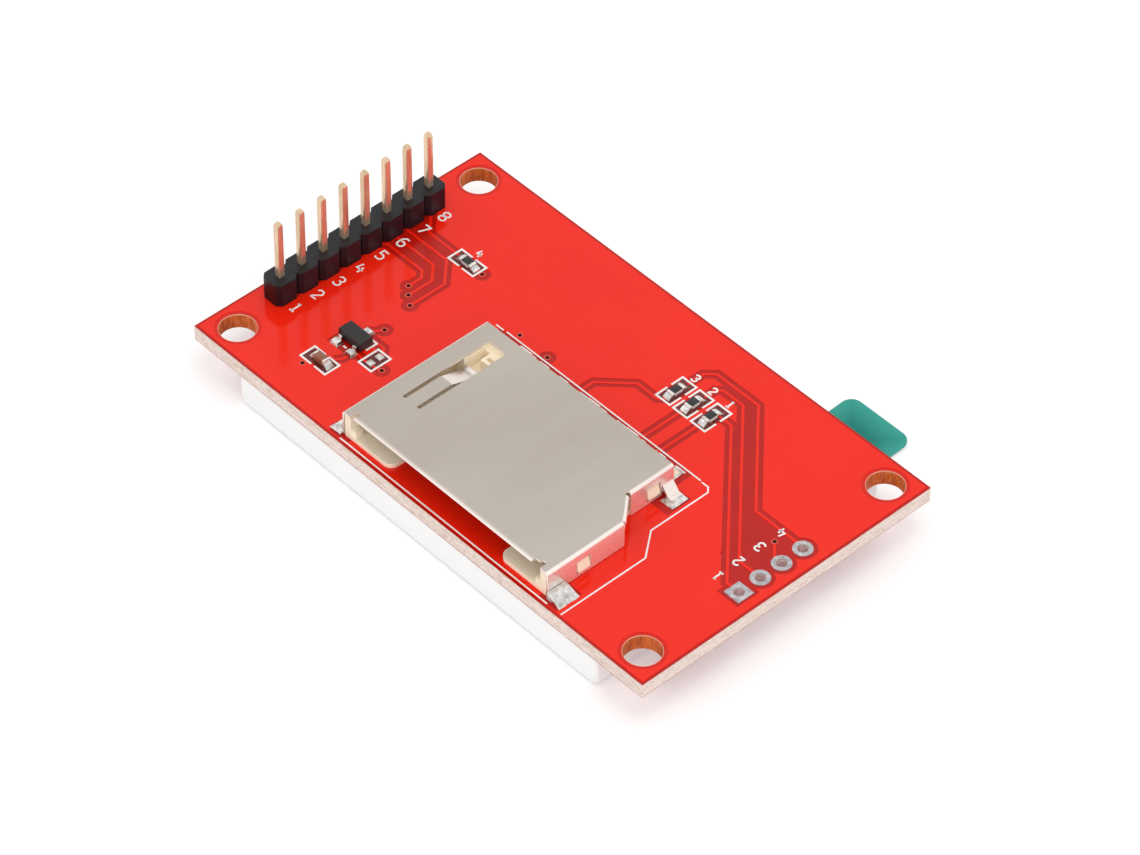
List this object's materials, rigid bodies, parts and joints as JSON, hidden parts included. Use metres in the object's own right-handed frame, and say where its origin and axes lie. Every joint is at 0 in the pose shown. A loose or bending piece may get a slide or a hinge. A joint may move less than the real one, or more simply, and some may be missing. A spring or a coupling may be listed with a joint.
{
  "type": "tft display module",
  "caption": "Flat colour display module: a red circuit board with a pin header and a memory card socket on one face and a backlit screen under a peel-off film on the other.",
  "frame": {"origin": "centre of the four mounting holes, on the board's component face", "axes": "+X along the board from the pin header to the card pads, +Y across it to the side with the film's pull tab, +Z out of the component face, away from the screen"},
  "size_m": [0.0584, 0.0407, 0.014],
  "materials": {
    "board_red": "glossy red solder mask over fibreglass board, bare cream edges",
    "header_black": "satin black moulding",
    "pin_gold": "thin pale gold plating",
    "solder_bright": "bright tin solder",
    "pad_tin": "dull levelled tin",
    "shell_nickel": "satin nickel plate",
    "housing_cream": "cream moulding",
    "contact_gold": "gold-plated spring bronze",
    "resistor_black": "black glazed ceramic, tinned ends",
    "capacitor_brown": "brown ceramic, tinned ends",
    "package_black": "black moulded package",
    "frame_white": "white moulding",
    "reflector_silver": "silvered film",
    "guide_clear": "clear acrylic",
    "sheet_white": "milky film",
    "lamp_cream": "cream lamps on white strip",
    "tape_black": "black adhesive film",
    "polariser_dark": "dark polarising film",
    "panel_glass": "clear ground-edge glass",
    "silicon_grey": "polished silicon",
    "flex_amber": "amber polyimide film",
    "foam_white": "white foam tape",
    "film_clear": "clear film",
    "tab_teal": "teal film"
  },
  "bodies": {
    "root": {"circuit_board": "board_red", "header_body": "header_black", "header_pin_1": "pin_gold", "header_pin_2": "pin_gold", "header_pin_3": "pin_gold", "header_pin_4": "pin_gold", "header_pin_5": "pin_gold", "header_pin_6": "pin_gold", "header_pin_7": "pin_gold", "header_pin_8": "pin_gold", "header_solder": "solder_bright", "card_pad_1": "pad_tin", "card_pad_2": "pad_tin", "card_pad_3": "pad_tin", "card_pad_4": "pad_tin", "socket_shell": "shell_nickel", "socket_housing": "housing_cream", "socket_contact_1": "contact_gold", "socket_contact_2": "contact_gold", "socket_contact_3": "contact_gold", "socket_contact_4": "contact_gold", "socket_contact_5": "contact_gold", "socket_contact_6": "contact_gold", "socket_contact_7": "contact_gold", "socket_contact_8": "contact_gold", "socket_contact_9": "contact_gold", "contact_solder": "solder_bright", "shell_solder": "solder_bright", "resistor_1": "resistor_black", "resistor_2": "resistor_black", "resistor_3": "resistor_black", "resistor_4": "resistor_black", "capacitor": "capacitor_brown", "regulator_body": "package_black", "regulator_lead_1": "solder_bright", "regulator_lead_2": "solder_bright", "regulator_lead_3": "solder_bright", "chip_solder": "solder_bright", "jumper_solder": "solder_bright", "display_frame": "frame_white", "reflector_sheet": "reflector_silver", "light_guide": "guide_clear", "diffuser_sheet": "sheet_white", "prism_sheet_1": "guide_clear", "prism_sheet_2": "guide_clear", "led_strip": "lamp_cream", "rim_tape": "tape_black", "rear_polariser": "polariser_dark", "array_glass": "panel_glass", "filter_glass": "panel_glass", "front_polariser": "polariser_dark", "driver_chip": "silicon_grey", "flex_tail": "flex_amber", "flex_solder": "solder_bright", "foam_tape_1": "foam_white", "foam_tape_2": "foam_white", "protective_film": "film_clear", "pull_tab": "tab_teal"}
  },
  "joints": []
}
